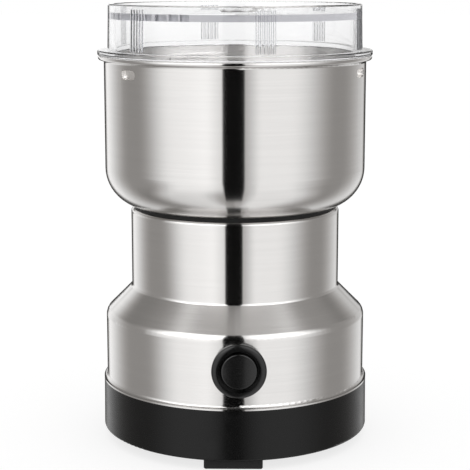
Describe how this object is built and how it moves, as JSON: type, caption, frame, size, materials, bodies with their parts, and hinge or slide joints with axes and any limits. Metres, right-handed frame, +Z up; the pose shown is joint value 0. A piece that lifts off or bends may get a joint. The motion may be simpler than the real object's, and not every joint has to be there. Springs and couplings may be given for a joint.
{
  "type": "electric grain grinder",
  "caption": "Upright electric grain grinder: clear bayonet lid on a steel grinding bowl with a spinning blade, over a steel motor housing with a press button and a black base on rubber feet.",
  "frame": {"origin": "on the table, under the turning axis of bowl, motor and blade", "axes": "+Z up along the turning axis; the press button faces -Y, the cord inlet faces +Y"},
  "size_m": [0.1062, 0.1081, 0.17],
  "materials": {
    "clear_plastic": "gloss",
    "brushed_stainless": "satin",
    "blade_steel": "satin",
    "zinc_steel": "satin",
    "spring_steel": "satin",
    "black_plastic": "satin",
    "bezel_plastic": "gloss",
    "button_plastic": "gloss",
    "inner_plastic": "matte",
    "fan_plastic": "matte",
    "black_rubber": "matte",
    "laminated_steel": "matte",
    "enamelled_copper": "satin",
    "copper": "satin",
    "bronze": "satin",
    "brass": "satin",
    "carbon": "matte"
  },
  "bodies": {
    "grinder": {"base": "black_plastic", "base_screw_1": "zinc_steel", "base_screw_2": "zinc_steel", "base_screw_3": "zinc_steel", "base_screw_4": "zinc_steel", "bowl_gasket": "black_rubber", "bowl_screw_1": "zinc_steel", "bowl_screw_2": "zinc_steel", "bowl_screw_3": "zinc_steel", "brush_holder_left": "brass", "brush_holder_right": "brass", "brush_spring_left": "spring_steel", "brush_spring_right": "spring_steel", "button_spring": "spring_steel", "carbon_brush_left": "carbon", "carbon_brush_right": "carbon", "cord_grommet": "black_rubber", "field_coil_back": "enamelled_copper", "field_coil_front": "enamelled_copper", "grinding_bowl": "brushed_stainless", "lower_bearing": "bronze", "lower_bearing_clip": "zinc_steel", "lower_bracket": "inner_plastic", "motor_housing": "brushed_stainless", "motor_nut_back": "zinc_steel", "motor_nut_front": "zinc_steel", "motor_screw_back": "zinc_steel", "motor_screw_front": "zinc_steel", "mount_plate": "inner_plastic", "rubber_foot_1": "black_rubber", "rubber_foot_2": "black_rubber", "rubber_foot_3": "black_rubber", "shaft_seal": "black_rubber", "stator_core": "laminated_steel", "switch_bezel": "bezel_plastic", "switch_body": "inner_plastic", "switch_nut": "inner_plastic", "switch_terminal_left": "brass", "switch_terminal_right": "brass", "upper_bearing": "bronze", "upper_bearing_clip": "zinc_steel", "upper_bracket": "inner_plastic"},
    "lid": {"lid": "clear_plastic"},
    "rotor": {"motor_shaft": "zinc_steel", "armature_core": "laminated_steel", "armature_windings": "enamelled_copper", "commutator": "copper", "cooling_fan": "fan_plastic", "blade_spacer": "zinc_steel", "blade": "blade_steel", "blade_washer": "zinc_steel", "blade_nut": "zinc_steel"},
    "button": {"push_button": "button_plastic", "switch_contact": "copper"}
  },
  "joints": [
    {"name": "lid_lift", "type": "slide", "parent": "grinder", "child": "lid", "axis": [0, 0, 1], "range_m": [0, 0.06]},
    {"name": "rotor_spin", "type": "hinge", "parent": "grinder", "child": "rotor", "pos_m": [0, 0, 0.06], "axis": [0, 0, 1], "continuous": true},
    {"name": "button_press", "type": "slide", "parent": "grinder", "child": "button", "axis": [0, 1, 0], "range_m": [0, 0.0025], "stiffness_N_per_m": 400, "springref_m": -0.003, "deforming": ["button_spring"]}
  ]
}
